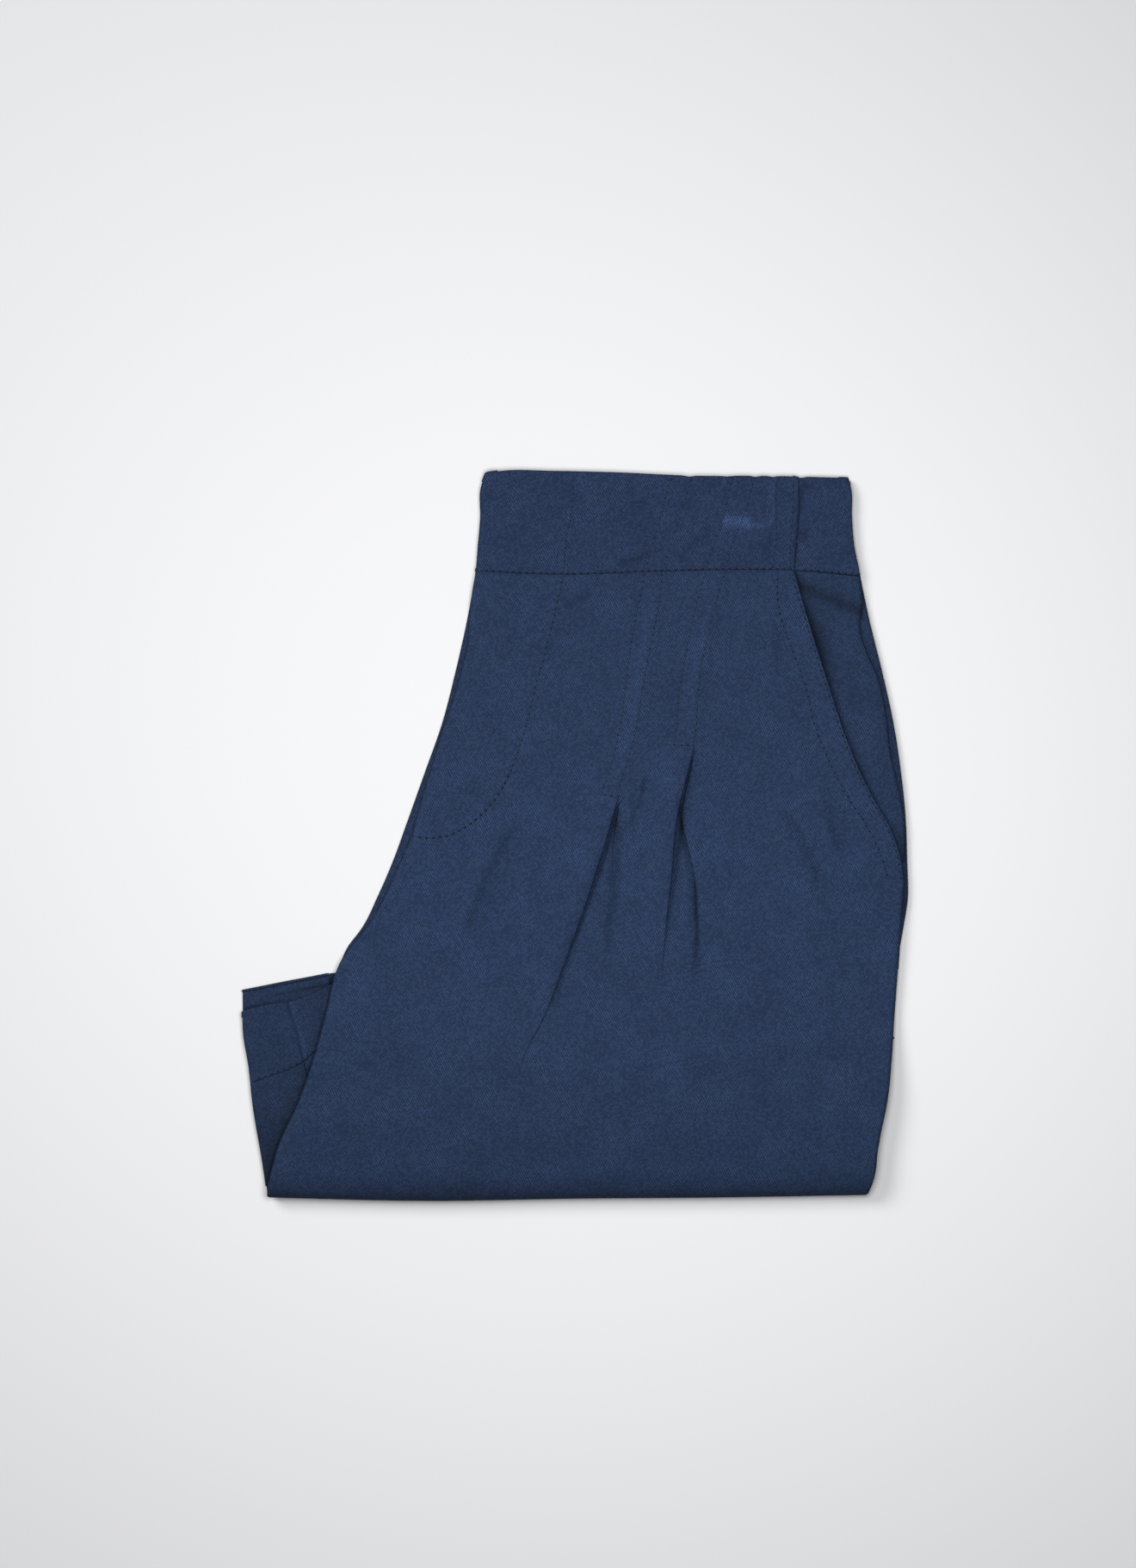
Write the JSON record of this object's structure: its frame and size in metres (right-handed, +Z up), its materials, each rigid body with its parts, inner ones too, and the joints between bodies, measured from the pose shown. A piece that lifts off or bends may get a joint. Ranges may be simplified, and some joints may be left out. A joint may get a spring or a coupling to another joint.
{
  "type": "shorts",
  "caption": "High-waisted wide-leg shorts of navy cotton twill with stitched front tucks and a slant pocket, folded in half lengthwise, legs turned up behind, lying flat",
  "frame": {"origin": "centre of the footprint, on the surface it lies on", "axes": "+Z up out of the left front, +Y towards the waistband, +X towards the side seams"},
  "size_m": [0.3253, 0.3564, 0.0135],
  "materials": {
    "navy_twill": "matt woven navy cotton twill, washed",
    "navy_twill_band": "matt woven navy cotton twill, interfaced and pressed"
  },
  "bodies": {
    "root": {"front_left": "navy_twill", "back_left": "navy_twill", "pocket_bearer_left": "navy_twill", "waistband_front_left": "navy_twill_band", "waistband_side_left": "navy_twill_band", "hem_left": "navy_twill", "front_right": "navy_twill", "front_right_leg": "navy_twill", "back_right_leg": "navy_twill", "pocket_bearer_right": "navy_twill", "waistband_front_right": "navy_twill_band", "waistband_side_right": "navy_twill_band", "hem_right": "navy_twill", "folded_core": "navy_twill"}
  },
  "joints": []
}
